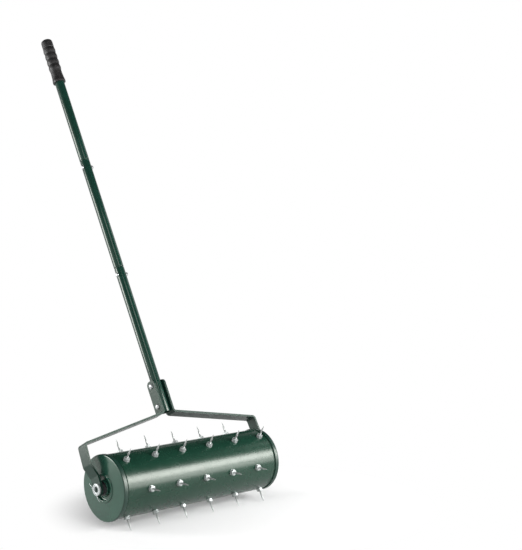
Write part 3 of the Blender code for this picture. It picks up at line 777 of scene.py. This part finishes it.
def fine_path(path):
    """The same line with more points near its two ends, where the bar's outline curves."""
    points = []
    for here, there in zip(path, path[1:]):
        count = 1
        if here is path[0] or there is path[-1]:
            count = max(1, math.ceil((there - here).length / END_SPACING))
        points += [here.lerp(there, k / count) for k in range(count)]
    points.append(path[-1])
    head = [points[0], points[0].lerp(points[1], 0.05), points[0].lerp(points[1], 0.3)]
    tail = [points[-1].lerp(points[-2], 0.3), points[-1].lerp(points[-2], 0.05)]
    return head + points[1:-1] + tail


def half_width(height):
    """Half the bar's width at a height up the handle: round at the foot, corners off the tab."""
    if height < 0:
        return math.sqrt(max(BAR_HALF_WIDTH * BAR_HALF_WIDTH - height * height, 0.0))
    over = height - (YOKE_TOP - TAB_CORNER)
    if over > 0:
        return (BAR_HALF_WIDTH - TAB_CORNER
                + math.sqrt(max(TAB_CORNER * TAB_CORNER - over * over, 0.0)))
    return BAR_HALF_WIDTH


def make_arm(word, side, enamel):
    """One half of the yoke: 30 x 5 mm flat bar with rolled, rounded edges, bent cold."""
    path = fine_path(bent_path(side))
    bm = bmesh.new()
    rings = []
    for i, point in enumerate(path):
        ahead = (path[min(i + 1, len(path) - 1)] - path[max(i - 1, 0)]).normalized()
        off = Vector((-ahead.y, ahead.x)) * BAR_HALF_THICKNESS
        wide = half_width(point.y)
        rings.append([bm.verts.new((point.x + face * off.x, edge * wide, point.y + face * off.y))
                      for face, edge in ((1, 1), (1, -1), (-1, -1), (-1, 1))])
    bridge(bm, rings)
    bm.faces.new(rings[0])
    bm.faces.new(rings[-1])
    arm = keep(f"bent_arm_{word}", bm, enamel, "frame", (f"yoke_arm_{word}",),
               HANDLE)
    edge = arm.modifiers.new("rolled_edge", "BEVEL")
    edge.width = BAR_EDGE
    edge.segments = 4
    edge.limit_method = "ANGLE"
    edge.angle_limit = math.radians(50)
    edge.harden_normals = True


def make_bolt(name, height, radius, reach, tail, zinc):
    """A domed head and its shank on the left, and the threaded end on the right."""
    head, rise, rim, shank = radius * 1.75, radius * 1.1, radius * 0.25, radius * 0.9
    seat = reach + GAP
    dome = [(0.0, seat + rise)]
    for degrees in (12, 24, 36, 48, 60, 72, 84, 90):
        angle = math.radians(degrees)
        dome.append((head * 0.97 * math.sin(angle), seat + rim + (rise - rim) * math.cos(angle)))
    dome += [(head, seat + radius * 0.2), (head, seat), (shank, seat), (shank, 0.0), (0.0, 0.0)]
    turned(name.replace("bolt", "domed_bolt").replace("screw", "domed_screw"), dome, 40,
           across_handle(height, -1), zinc, "frame", (name,))
    tip = reach + tail
    root = reach - 0.001
    pitch, depth = radius * 0.31, radius * 0.14
    end = [(0.0, tip), (radius * 0.75, tip), (radius, tip - radius * 0.25)]
    end += thread(radius, pitch, depth, tip - radius * 0.35, root)
    end.append((0.0, root))
    turned(name + "_end", end, 24, across_handle(height), zinc, "frame", ())


def make_nut(name, height, radius, reach, zinc):
    """A plain washer and a chamfered hexagon nut on the bolt's right-hand end."""
    foot, rim = reach + GAP, radius * 1.95
    top = foot + 0.0009
    washer = [(radius, top, 0), (rim, top, 0.0002), (rim, foot, 0.0002), (radius, foot, 0)]
    bm = bmesh.new()
    turn(bm, rounded(washer, 2), 36)
    hexagon(bm, radius * 3.25, foot + 0.001, foot + radius * 1.6, radius)
    place = across_handle(height) @ Matrix.Rotation(chance.uniform(0, 1), 4, "Z")
    keep(name.replace("nut", "hex_nut"), bm, zinc, "frame", (name,), place)


def make_fasteners(zinc):
    """The yoke's two bolts and the screw below each handle joint."""
    for word, height in BOLT_HEIGHTS.items():
        make_bolt(f"yoke_bolt_{word}", height, BOLT_RADIUS, TAB_OUTSIDE, BOLT_TAIL, zinc)
        make_nut(f"yoke_nut_{word}", height, BOLT_RADIUS, TAB_OUTSIDE, zinc)
    for word, joint in (("lower", LOWER_JOINT), ("upper", UPPER_JOINT)):
        height = joint - SCREW_BELOW_JOINT
        make_bolt(f"joint_screw_{word}", height, SCREW_RADIUS, TUBE_RADIUS, SCREW_TAIL, zinc)
        make_nut(f"joint_nut_{word}", height, SCREW_RADIUS, TUBE_RADIUS, zinc)


# ---------------------------------------------------------------- handle

def make_tubes(enamel):
    """Three lengths of 25 mm tube; the upper two are swaged to slide down into the one below."""
    outer, inner = TUBE_RADIUS, TUBE_RADIUS - TUBE_WALL
    swaged = inner - GAP
    bore = swaged - TUBE_WALL
    for word, foot, top in (("lower", TUBE_FOOT, LOWER_JOINT - JOINT_GAP),
                            ("middle", LOWER_JOINT, UPPER_JOINT - JOINT_GAP),
                            ("upper", UPPER_JOINT, HANDLE_TOP - GRIP_END - GAP)):
        outline = [(inner, top, 0.0002), (outer, top, 0.0010), (outer, foot, 0.0010)]
        if word == "lower":
            outline += [(inner, foot, 0.0002)]
        else:
            outline += [(swaged, foot, 0.0002), (swaged, foot - SPIGOT, 0.0004),
                        (bore, foot - SPIGOT, 0), (bore, foot + SWAGE_START, 0),
                        (inner, foot + SWAGE_END, 0)]
        turned(f"tube_{word}", rounded(outline, 4), 72, HANDLE, enamel, "frame",
               (f"handle_{word}",))


def make_grip(rubber):
    """The moulded sleeve: plain and rounded at its closed end, then four swells, then a foot
    that flares out to a rolled ring."""
    foot = HANDLE_TOP - GRIP_LENGTH
    flat = 0.0075               # radius of the closed end's flat middle
    outline = [(0.0, HANDLE_TOP), (flat, HANDLE_TOP)]
    for degrees in range(10, 91, 10):
        angle = math.radians(degrees)
        outline.append((flat + GRIP_ROUNDING * math.sin(angle),
                        HANDLE_TOP - GRIP_ROUNDING + GRIP_ROUNDING * math.cos(angle)))
    first = HANDLE_TOP - SWELL_START
    outline += [(0.0151, first + 0.0014), (0.0150, first + 0.0006)]
    points = 12
    for i in range(SWELLS * points + 1):
        lift = SWELL_RISE * abs(math.sin(math.pi * i / points)) ** 1.2
        outline.append((GRIP_WAIST + lift, first - SWELL_PITCH * i / points))
    last = first - SWELL_PITCH * SWELLS
    for share in (0.2, 0.4, 0.6, 0.8, 1.0):
        outline.append((GRIP_WAIST + FLARE_RISE * share * share,
                        last + (foot + FLARE_END - last) * share))
    outline += [(RING_RADIUS - 0.0002, foot + 0.0068), (RING_RADIUS, foot + 0.0050),
                (RING_RADIUS, foot + 0.0022), (RING_RADIUS - 0.0004, foot + 0.0006),
                (RING_RADIUS - 0.0012, foot), (GRIP_BORE, foot),
                (GRIP_BORE, foot + BORE_DEPTH), (0.0, foot + BORE_DEPTH)]
    turned("moulded_grip", outline, 64, HANDLE, rubber, "frame", ("grip",))


def main():
    """The studio, the finishes, then the pieces from the drum up to the grip."""
    place_camera()
    lay_paper()
    light_scene()
    tube_enamel = make_enamel("glossy_green_powder_coat", "#0E2A22", "#122F27", 0.14, 0.19)
    # The caps' green is paler than the shell's: painted light for the brightness that the end faces
    # catch.
    lit_cap_enamel = make_enamel("lit_face_green_powder_coat", "#16382D", "#1B4134", 0.16, 0.20, 1.6)
    shell_enamel = make_enamel("rolled_green_powder_coat", "#0D2B20", "#102F23", 0.25, 0.29)
    bar_enamel = make_enamel("satin_green_powder_coat", "#0E2821", "#122D25", 0.32, 0.38)
    bright_zinc = make_zinc("bright_zinc_plate", "#A4A9A9", "#C2C6C5", 0.20, 0.28, 0.65)
    tumbled_zinc = make_zinc("tumbled_zinc_plate", "#8F9594", "#B0B5B3", 0.32, 0.42, 0.55)
    dull_zinc = make_zinc("dull_zinc_plate", "#9EA2A3", "#BEC1C1", 0.22, 0.30, 0.8)
    thin_zinc = make_zinc("thin_zinc_plate", "#8E9190", "#A5A8A6", 0.36, 0.46, 0.5)
    rubber, nylon = make_rubber(), make_nylon()
    make_shell(shell_enamel)
    make_caps(lit_cap_enamel, bar_enamel)
    make_spikes(tumbled_zinc, thin_zinc)
    make_bushes(nylon)
    make_axle(bright_zinc)
    for word, side in SIDES.items():
        make_arm(word, side, bar_enamel)
    make_fasteners(dull_zinc)
    make_tubes(tube_enamel)
    make_grip(rubber)
    bpy.context.scene.view_settings.view_transform = "Standard"


main()
